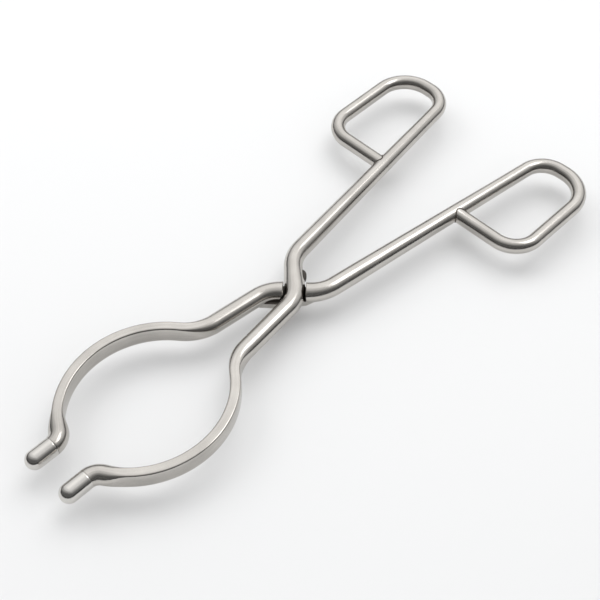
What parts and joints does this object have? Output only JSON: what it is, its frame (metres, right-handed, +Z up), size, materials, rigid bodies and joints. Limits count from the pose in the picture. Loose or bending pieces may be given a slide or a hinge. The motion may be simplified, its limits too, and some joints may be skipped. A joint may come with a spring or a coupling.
{
  "type": "beaker tongs",
  "caption": "Scissor-type beaker tongs of bent stainless bar: finger loops, a riveted lap joint and curved, flattened jaws with rounded tips.",
  "frame": {"origin": "on the pivot axis, at the flat underside of the lower arm's lap, which is the bench plane", "axes": "+X from the pivot to the finger loops, the jaws at -X; +Y to the upper arm's finger loop; +Z up, along the pivot"},
  "size_m": [0.2501, 0.1114, 0.0075],
  "materials": {
    "arms": "satin, brushed along the bar",
    "tips": "satin, finer brushing than the arms",
    "rivet": "ground flush"
  },
  "bodies": {
    "lower_half": {"lower_handle": "arms", "lower_jaw": "arms", "lower_jaw_tip": "tips"},
    "upper_half": {"upper_arm": "arms", "upper_jaw_tip": "tips", "pivot_rivet": "rivet"}
  },
  "joints": [
    {"name": "pivot", "type": "hinge", "parent": "lower_half", "child": "upper_half", "pos_m": [0, 0, 0], "axis": [0, 0, 1], "range_deg": [-5.4, 13]}
  ]
}
